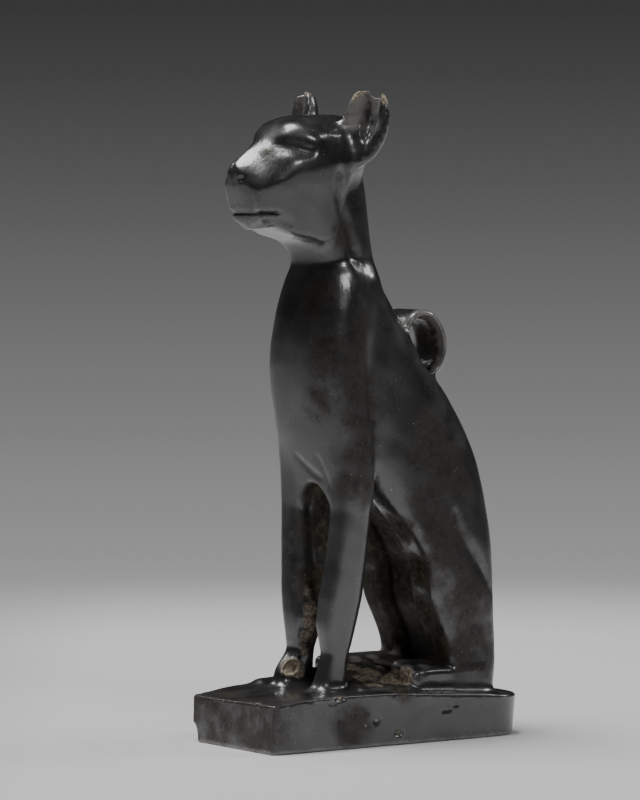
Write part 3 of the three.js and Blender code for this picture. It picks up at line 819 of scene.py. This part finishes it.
WEAR_AND_HIGHLIGHT = [
    (3.5, -2.5, 43.2, 1.0),
    (3.2, -2.3, 44.2, 1.0),
    (3.8, -2.0, 44.6, 0.7),
    (4.6, -1.6, 42.7, 0.8),
    (5.2, -0.6, 44.9, 0.5),
    (-4.1, -2.3, 44.2, 1.3),
    (-3.7, -2.4, 45.2, 1.0),
    (2.05, 3.9, 27.6, 0.95),
    (2.05, 5.2, 28.6, 1.0),
    (2.05, 6.6, 28.0, 0.95),
    (2.05, 7.3, 26.4, 0.95),
    (2.05, 7.0, 24.6, 0.95),
    (2.05, 3.4, 25.8, 0.95),
    # The balls on the feet are painted highlight on their tops, as well as wear
    (3.8, 2.1, 2.0, 0.6),
    (2.4, 2.4, 2.3, 0.7),
    (4.2, 3.6, 2.1, 0.6),
    (-4.3, 3.1, 2.2, 0.7),
    (-4.5, 5.2, 2.2, 0.7),
    (-2.2, 5.4, 2.25, 0.6),
    (-1.8, 1.4, 2.2, 0.5),
    (-1.8, 3.0, 2.2, 0.5),
    (3.2, -0.5, 1.2, 0.6),
]
across, along, height = points[:, 0], points[:, 1] + CAT_FORWARD, points[:, 2] - PLINTH[2]
zones = {}
for name, balls in (("broken", BROKEN), ("unpolished", UNPOLISHED), ("bloom_and_front_shade", BLOOM_AND_FRONT_SHADE), ("worn", WEAR_AND_HIGHLIGHT)):
    amount = np.zeros(len(points))
    for ball in balls:
        gap = length(across - ball[0], along - ball[1], height - ball[2])
        amount = np.maximum(amount, 1.5 - gap / ball[3])
    zones[name] = amount

# Outer edges are made pale, for wear and as painted highlight, and inner corners are painted darker,
# both found by a look just under and over the skin
LOOK_UNDER = 0.32
LOOK_OVER = 0.5
steep = np.linalg.norm(slopes(points), axis=1)
edge = measure(points - LOOK_UNDER * normals) / (LOOK_UNDER * steep) + 1.0
zones["worn"] = np.maximum(0.8 * zones["worn"], 1.3 * edge)
zones["corner"] = 1.0 - measure(points + LOOK_OVER * normals) / (LOOK_OVER * steep)
for name, amount in zones.items():
    layer = mesh.attributes.new(name, "FLOAT", "POINT")
    layer.data.foreach_set("value", np.clip(amount, 0.0, 1.0))

# Polished haematite: nearly black, with a clear sharp shine over a softer one. Its broken places are
# tan and rough, its unpolished ones brown and dull, its outer edges pale with wear and painted
# highlight, its inner corners painted darker, and fine scratches cover all of it, with pale specks that
# are painted glints.
stone = bpy.data.materials.new("polished_haematite")
stone.use_nodes = True
nodes, links = stone.node_tree.nodes, stone.node_tree.links
shader = nodes["Principled BSDF"]
shader.inputs["IOR"].default_value = 1.85
shader.inputs["Coat Roughness"].default_value = 0.09
shader.inputs["Coat IOR"].default_value = 1.6
mesh.materials.append(stone)
where = nodes.new("ShaderNodeTexCoord")
scratch_stretch = (4.0, 4.0, 0.2)


# Cloudy noise fixed to the stone, or drawn out into fine lines where it is given a turn
def noise(scale, detail, roughness=0.5, turn=None):
    texture = nodes.new("ShaderNodeTexNoise")
    texture.inputs["Scale"].default_value = scale
    texture.inputs["Detail"].default_value = detail
    texture.inputs["Roughness"].default_value = roughness
    source = where.outputs["Object"]
    if turn is not None:
        mapping = nodes.new("ShaderNodeMapping")
        mapping.inputs["Scale"].default_value = scratch_stretch
        mapping.inputs["Rotation"].default_value = turn
        links.new(source, mapping.inputs["Vector"])
        source = mapping.outputs["Vector"]
    links.new(source, texture.inputs["Vector"])
    return texture.outputs["Fac"]


# A value's stretch from start to end is spread softly over low to high
def spread(value, start, end, low=0.0, high=1.0):
    node = nodes.new("ShaderNodeMapRange")
    node.interpolation_type = "SMOOTHSTEP"
    for name, number in (("From Min", start), ("From Max", end), ("To Min", low), ("To Max", high)):
        node.inputs[name].default_value = number
    links.new(value, node.inputs["Value"])
    return node.outputs["Result"]


def sums(operation, a, b):
    node = nodes.new("ShaderNodeMath")
    node.operation = operation
    for socket, value in zip(node.inputs, (a, b)):
        if isinstance(value, float):
            socket.default_value = value
        else:
            links.new(value, socket)
    return node.outputs["Value"]


def blend_colour(share, under, over):
    node = nodes.new("ShaderNodeMix")
    node.data_type = "RGBA"
    links.new(share, node.inputs["Factor"])
    for socket, value in ((node.inputs[6], under), (node.inputs[7], over)):
        if isinstance(value, tuple):
            socket.default_value = value + (1.0,)
        else:
            links.new(value, socket)
    return node.outputs[2]


# A zone of the stone as kept on the mesh, its border made ragged
def zone(name, ragged, low, high, uneven=0.9):
    reader = nodes.new("ShaderNodeAttribute")
    reader.attribute_name = name
    return spread(sums("ADD", reader.outputs["Fac"], sums("MULTIPLY", ragged, uneven)), low, high)


clouds = noise(420.0, 5.0, 0.65)
ragged = noise(1500.0, 4.0, 0.7)
grit = noise(4200.0, 2.0, 0.6)
glint_specks = spread(noise(7500.0, 1.0), 0.745, 0.775)
one_way = noise(900.0, 1.0, 0.5, (0.5, 0.2, 0.0))
other_way = noise(900.0, 1.0, 0.5, (-0.4, 0.7, 0.3))
scratches = sums("ADD", one_way, other_way)
broken = zone("broken", ragged, 0.75, 1.1)
unpolished = zone("unpolished", ragged, 0.55, 1.35)
corner = zone("corner", ragged, 0.75, 1.2)
worn = zone("worn", ragged, 0.78, 1.5, 1.3)
# The brown bloom; on the plinth's front it is painted shade, with dark pits and less gloss
bloom_and_front_shade = sums("MULTIPLY", zone("bloom_and_front_shade", ragged, 0.45, 1.3), spread(clouds, 0.2, 0.6))
dull = sums("MAXIMUM", unpolished, sums("MULTIPLY", corner, 0.8))
rough = sums("MAXIMUM", broken, dull)

colour = blend_colour(spread(clouds, 0.35, 0.75), (0.018, 0.018, 0.020), (0.028, 0.027, 0.028))
colour = blend_colour(bloom_and_front_shade, colour, (0.030, 0.0235, 0.018))
pits = sums("MULTIPLY", spread(ragged, 0.5, 0.62), bloom_and_front_shade)
colour = blend_colour(pits, colour, (0.007, 0.006, 0.005))
colour = blend_colour(spread(grit, 0.5, 0.75), colour, (0.034, 0.033, 0.033))
brown = blend_colour(spread(ragged, 0.35, 0.7), (0.022, 0.019, 0.014), (0.085, 0.072, 0.052))
tan = blend_colour(spread(grit, 0.35, 0.68), (0.18, 0.148, 0.11), (0.54, 0.46, 0.355))
colour = blend_colour(unpolished, colour, brown)
# Inner corners are painted darker brown, down to nearly black
darker_in_corners = blend_colour(spread(ragged, 0.4, 0.7), (0.010, 0.008, 0.006), (0.045, 0.037, 0.027))
colour = blend_colour(corner, colour, darker_in_corners)
# Outer edges and the listed rubbed places turn pale grey: wear, and painted highlight along the edges
# and on the feet's tops
colour = blend_colour(worn, colour, (0.20, 0.19, 0.18))
colour = blend_colour(broken, colour, tan)
# Pale specks all over are painted glints
colour = blend_colour(glint_specks, colour, (0.32, 0.31, 0.29))
links.new(colour, shader.inputs["Base Color"])

shine = sums("ADD", spread(clouds, 0.3, 0.75, 0.26, 0.42), sums("MULTIPLY", rough, 0.4))
shine = sums("ADD", shine, sums("MULTIPLY", bloom_and_front_shade, 0.15))
links.new(sums("MINIMUM", shine, 1.0), shader.inputs["Roughness"])
cover = sums("SUBTRACT", spread(clouds, 0.3, 0.75, 0.7, 0.5), sums("MULTIPLY", rough, 0.65))
cover = sums("SUBTRACT", cover, sums("MULTIPLY", sums("MAXIMUM", bloom_and_front_shade, pits), 0.6))
links.new(sums("MAXIMUM", cover, 0.0), shader.inputs["Coat Weight"])
gleam = sums("SUBTRACT", 0.5, sums("MULTIPLY", rough, 0.4))
gleam = sums("SUBTRACT", gleam, sums("MULTIPLY", bloom_and_front_shade, 0.22))
links.new(gleam, shader.inputs["Specular IOR Level"])

relief = sums("ADD", sums("MULTIPLY", scratches, 0.45), sums("MULTIPLY", grit, 0.2))
relief = sums("ADD", relief, sums("MULTIPLY", ragged, sums("MULTIPLY", rough, 3.0)))
bump = nodes.new("ShaderNodeBump")
bump.inputs["Strength"].default_value = 0.2
bump.inputs["Distance"].default_value = 0.0001
links.new(relief, bump.inputs["Height"])
links.new(bump.outputs["Normal"], shader.inputs["Normal"])
links.new(bump.outputs["Normal"], shader.inputs["Coat Normal"])

# The floor
# A round of pale paper under the figure, painted darker toward the front left as painted shade, which
# the plinth's front then reflects. Its edge fades into the room's own pale lower half, so that no line
# shows behind the figure.

floor_radius = 0.16
floor_sides = 96
angles = [2.0 * math.pi * index / floor_sides for index in range(floor_sides)]
rim = [(floor_radius * math.cos(angle), floor_radius * math.sin(angle), 0.0) for angle in angles]
floor_mesh = bpy.data.meshes.new("floor")
floor_mesh.from_pydata(rim, [], [tuple(range(floor_sides))])
floor = bpy.data.objects.new("floor", floor_mesh)
bpy.context.collection.objects.link(floor)

paper = bpy.data.materials.new("pale_paper")
paper.use_nodes = True
nodes, links = paper.node_tree.nodes, paper.node_tree.links
sheet = nodes["Principled BSDF"]
sheet.inputs["Roughness"].default_value = 0.95
sheet.inputs["Specular IOR Level"].default_value = 0.2
place = nodes.new("ShaderNodeTexCoord")
grain = nodes.new("ShaderNodeTexNoise")
grain.inputs["Scale"].default_value = 900.0
grain.inputs["Detail"].default_value = 3.0
relief = nodes.new("ShaderNodeBump")
relief.inputs["Strength"].default_value = 0.35
relief.inputs["Distance"].default_value = 0.0003
links.new(place.outputs["Object"], grain.inputs["Vector"])
links.new(grain.outputs["Fac"], relief.inputs["Height"])
links.new(relief.outputs["Normal"], sheet.inputs["Normal"])
reach = nodes.new("ShaderNodeVectorMath")
reach.operation = "LENGTH"
fade = nodes.new("ShaderNodeMapRange")
fade.interpolation_type = "SMOOTHSTEP"
fade.inputs["From Min"].default_value = 0.07
fade.inputs["From Max"].default_value = 0.15
fade.inputs["To Min"].default_value = 1.0
fade.inputs["To Max"].default_value = 0.0
links.new(place.outputs["Object"], reach.inputs[0])
links.new(reach.outputs["Value"], fade.inputs["Value"])
links.new(fade.outputs["Result"], sheet.inputs["Alpha"])
# Painted shade: the paper goes from pale to mid grey toward the front left
leftward = nodes.new("ShaderNodeVectorMath")
leftward.operation = "DOT_PRODUCT"
leftward.inputs[1].default_value = (-0.57, -0.82, 0.0)
painted_shade_tint = nodes.new("ShaderNodeValToRGB")
painted_shade_tint.color_ramp.elements[0].color = (0.8, 0.79, 0.79, 1.0)
painted_shade_tint.color_ramp.elements[0].position = 0.24
painted_shade_tint.color_ramp.elements[1].color = (0.46, 0.455, 0.455, 1.0)
painted_shade_tint.color_ramp.elements[1].position = 0.5
closer = nodes.new("ShaderNodeMath")
closer.operation = "MULTIPLY"
closer.inputs[1].default_value = 10.0
links.new(place.outputs["Object"], leftward.inputs[0])
links.new(leftward.outputs["Value"], closer.inputs[0])
links.new(closer.outputs["Value"], painted_shade_tint.inputs["Fac"])
links.new(painted_shade_tint.outputs["Color"], sheet.inputs["Base Color"])
floor_mesh.materials.append(paper)

# The light
# A broad soft light overhead, a small one on each side of the figure and two behind it, in a room that
# is pale below and dark above, as a sweep of paper in a dark studio is.

horizon_band = 0.10
world = bpy.data.worlds.new("room")
bpy.context.scene.world = world
world.use_nodes = True
nodes, links = world.node_tree.nodes, world.node_tree.links
direction = nodes.new("ShaderNodeTexCoord")
parts = nodes.new("ShaderNodeSeparateXYZ")
level = nodes.new("ShaderNodeMapRange")
level.inputs["From Min"].default_value = -horizon_band
level.inputs["From Max"].default_value = horizon_band
shade = nodes.new("ShaderNodeValToRGB")
links.new(direction.outputs["Generated"], parts.inputs["Vector"])
links.new(parts.outputs["Z"], level.inputs["Value"])
links.new(level.outputs["Result"], shade.inputs["Fac"])
toward_front = nodes.new("ShaderNodeVectorMath")
toward_front.operation = "DOT_PRODUCT"
toward_front.inputs[1].default_value = (-0.82, -0.57, 0.0)
links.new(direction.outputs["Generated"], toward_front.inputs[0])
dim = nodes.new("ShaderNodeMapRange")
for name, number in (("From Min", 0.5), ("From Max", 0.9), ("To Min", 1.0), ("To Max", 0.65)):
    dim.inputs[name].default_value = number
links.new(toward_front.outputs["Value"], dim.inputs["Value"])
links.new(dim.outputs["Result"], nodes["Background"].inputs["Strength"])
links.new(shade.outputs["Color"], nodes["Background"].inputs["Color"])
stops = [
    (-5.7, 0.42),
    (-4.6, 0.31),
    (-3.0, 0.215),
    (-1.4, 0.153),
    (0.2, 0.098),
    (1.7, 0.060),
    (2.6, 0.045),
    (5.7, 0.016),
]
while len(shade.color_ramp.elements) < len(stops):
    shade.color_ramp.elements.new(0.5)
for stop, (degrees, grey) in zip(shade.color_ramp.elements, stops):
    stop.position = (math.sin(math.radians(degrees)) + horizon_band) / (2.0 * horizon_band)
    stop.color = (grey, grey, grey * 1.005, 1.0)


lamp_distance = 0.6
lamp_aim = (0.0, 0.0, 0.03)


def softbox(name, azimuth, elevation, size, radiance):
    light = bpy.data.lights.new(name, "AREA")
    light.shape = "RECTANGLE"
    light.size, light.size_y = size, size
    light.energy = radiance * math.pi * size * size
    lamp = bpy.data.objects.new(name, light)
    bpy.context.collection.objects.link(lamp)
    a, e = math.radians(azimuth), math.radians(elevation)
    toward = Vector((math.sin(a) * math.cos(e), -math.cos(a) * math.cos(e), math.sin(e)))
    lamp.location = Vector(lamp_aim) + toward * lamp_distance
    lamp.rotation_euler = toward.to_track_quat("Z", "Y").to_euler()


softbox("overhead_light", -30.0, 74.0, 0.32, 11.0)
softbox("side_light", 82.0, 38.0, 0.12, 8.0)
softbox("back_light", 168.0, 33.0, 0.14, 8.0)
softbox("high_light", 146.0, 46.0, 0.08, 6.0)
softbox("far_light", -76.0, 32.0, 0.10, 6.0)
